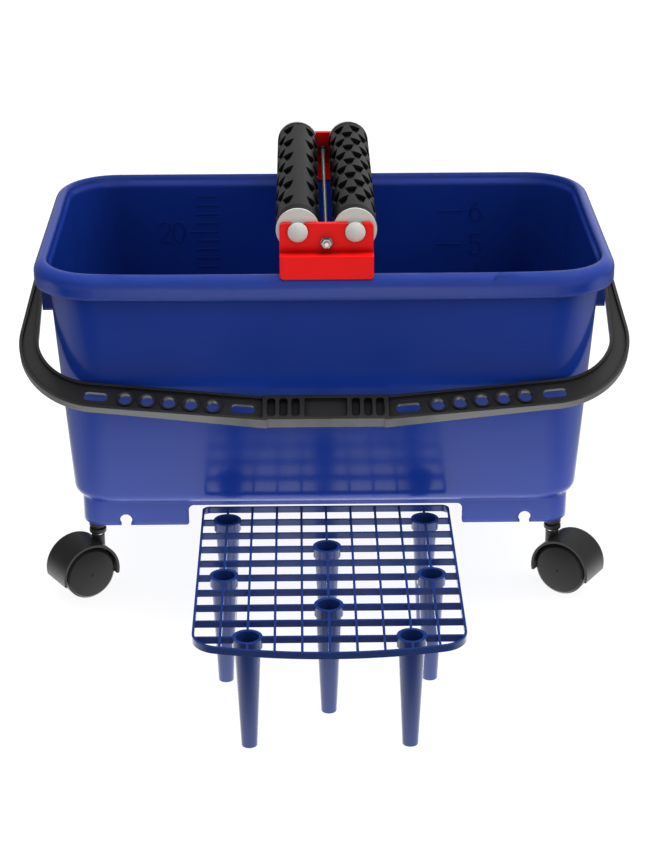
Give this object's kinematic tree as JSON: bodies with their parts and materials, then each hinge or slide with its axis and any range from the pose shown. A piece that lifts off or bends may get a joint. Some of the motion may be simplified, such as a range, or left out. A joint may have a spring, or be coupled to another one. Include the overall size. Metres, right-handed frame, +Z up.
{
  "type": "grout cleaning bucket",
  "caption": "Rectangular wheeled tub with a perforated bail handle, wringing rollers clipped over the rim and a separate legged washing grid, for rinsing grout floats.",
  "frame": {"origin": "floor point under the middle of the overall box, washing grid included", "axes": "+Z up, -Y towards the front where the grid stands, +X to the right along the tub seen from the front"},
  "size_m": [0.5688, 0.589, 0.3961],
  "materials": {
    "blue_moulding": "smooth moulded polypropylene, glossy",
    "grid_blue": "moulded polypropylene, slightly darker blue",
    "handle_black": "moulded black plastic, fine satin grain",
    "bracket_red": "moulded red plastic, smooth",
    "cap_white": "moulded off-white plastic",
    "core_grey": "extruded grey plastic tube",
    "sleeve_rubber": "black pitted rubber",
    "tie_steel": "bright zinc-plated steel",
    "castor_plastic": "moulded dark grey plastic, satin",
    "stem_zinc": "bright zinc-plated steel"
  },
  "bodies": {
    "tub_body": {"tub": "blue_moulding", "pivot_pins": "handle_black", "castor_sleeves": "castor_plastic"},
    "handle": {"bail": "handle_black"},
    "roller_set": {"bracket_front": "bracket_red", "bracket_rear": "bracket_red", "tie_rod": "tie_steel", "tie_washers": "tie_steel", "tie_nuts": "tie_steel"},
    "roller_left": {"roller_caps_left": "cap_white", "roller_core_left": "core_grey", "roller_sleeve_left": "sleeve_rubber"},
    "roller_right": {"roller_caps_right": "cap_white", "roller_core_right": "core_grey", "roller_sleeve_right": "sleeve_rubber"},
    "castor_fl": {"castor_fl_stem": "stem_zinc", "castor_fl_hood": "castor_plastic", "castor_fl_axle": "stem_zinc"},
    "castor_fl_wheel_a": {"castor_fl_wheel_a": "castor_plastic"},
    "castor_fl_wheel_b": {"castor_fl_wheel_b": "castor_plastic"},
    "castor_fr": {"castor_fr_stem": "stem_zinc", "castor_fr_hood": "castor_plastic", "castor_fr_axle": "stem_zinc"},
    "castor_fr_wheel_a": {"castor_fr_wheel_a": "castor_plastic"},
    "castor_fr_wheel_b": {"castor_fr_wheel_b": "castor_plastic"},
    "castor_rl": {"castor_rl_stem": "stem_zinc", "castor_rl_hood": "castor_plastic", "castor_rl_axle": "stem_zinc"},
    "castor_rl_wheel_a": {"castor_rl_wheel_a": "castor_plastic"},
    "castor_rl_wheel_b": {"castor_rl_wheel_b": "castor_plastic"},
    "castor_rr": {"castor_rr_stem": "stem_zinc", "castor_rr_hood": "castor_plastic", "castor_rr_axle": "stem_zinc"},
    "castor_rr_wheel_a": {"castor_rr_wheel_a": "castor_plastic"},
    "castor_rr_wheel_b": {"castor_rr_wheel_b": "castor_plastic"},
    "grid": {"grid": "grid_blue"}
  },
  "joints": [
    {"name": "handle_swing", "type": "hinge", "parent": "tub_body", "child": "handle", "pos_m": [0, 0.13395, 0.3065], "axis": [-1, 0, 0], "range_deg": [0, 237]},
    {"name": "roller_set_lift", "type": "slide", "parent": "tub_body", "child": "roller_set", "axis": [0, 0, 1], "range_m": [0, 0.06]},
    {"name": "roller_left_spin", "type": "hinge", "parent": "roller_set", "child": "roller_left", "pos_m": [-0.0241, 0.13145, 0.3763], "axis": [0, 1, 0], "continuous": true},
    {"name": "roller_right_spin", "type": "hinge", "parent": "roller_set", "child": "roller_right", "pos_m": [0.0271, 0.13145, 0.3763], "axis": [0, 1, 0], "continuous": true},
    {"name": "castor_fl_swivel", "type": "hinge", "parent": "tub_body", "child": "castor_fl", "pos_m": [-0.2193, 0.02815, 0.068], "axis": [0, 0, 1], "continuous": true},
    {"name": "castor_fl_roll_a", "type": "hinge", "parent": "castor_fl", "child": "castor_fl_wheel_a", "pos_m": [-0.2344, 0.01835, 0.02575], "axis": [-0.5446, 0.8387, 0], "continuous": true},
    {"name": "castor_fl_roll_b", "type": "hinge", "parent": "castor_fl", "child": "castor_fl_wheel_b", "pos_m": [-0.2344, 0.01835, 0.02575], "axis": [-0.5446, 0.8387, 0], "continuous": true},
    {"name": "castor_fr_swivel", "type": "hinge", "parent": "tub_body", "child": "castor_fr", "pos_m": [0.2193, 0.02815, 0.068], "axis": [0, 0, 1], "continuous": true},
    {"name": "castor_fr_roll_a", "type": "hinge", "parent": "castor_fr", "child": "castor_fr_wheel_a", "pos_m": [0.2344, 0.01835, 0.02575], "axis": [-0.5446, -0.8387, 0], "continuous": true},
    {"name": "castor_fr_roll_b", "type": "hinge", "parent": "castor_fr", "child": "castor_fr_wheel_b", "pos_m": [0.2344, 0.01835, 0.02575], "axis": [-0.5446, -0.8387, 0], "continuous": true},
    {"name": "castor_rl_swivel", "type": "hinge", "parent": "tub_body", "child": "castor_rl", "pos_m": [-0.2193, 0.23975, 0.068], "axis": [0, 0, 1], "continuous": true},
    {"name": "castor_rl_roll_a", "type": "hinge", "parent": "castor_rl", "child": "castor_rl_wheel_a", "pos_m": [-0.22546, 0.25666, 0.02575], "axis": [0.9397, 0.342, 0], "continuous": true},
    {"name": "castor_rl_roll_b", "type": "hinge", "parent": "castor_rl", "child": "castor_rl_wheel_b", "pos_m": [-0.22546, 0.25666, 0.02575], "axis": [0.9397, 0.342, 0], "continuous": true},
    {"name": "castor_rr_swivel", "type": "hinge", "parent": "tub_body", "child": "castor_rr", "pos_m": [0.2193, 0.23975, 0.068], "axis": [0, 0, 1], "continuous": true},
    {"name": "castor_rr_roll_a", "type": "hinge", "parent": "castor_rr", "child": "castor_rr_wheel_a", "pos_m": [0.22546, 0.25666, 0.02575], "axis": [0.9397, -0.342, 0], "continuous": true},
    {"name": "castor_rr_roll_b", "type": "hinge", "parent": "castor_rr", "child": "castor_rr_wheel_b", "pos_m": [0.22546, 0.25666, 0.02575], "axis": [0.9397, -0.342, 0], "continuous": true},
    {"name": "grid_lift", "type": "slide", "parent": "tub_body", "child": "grid", "axis": [0, 0, 1], "range_m": [0, 0.06]}
  ]
}
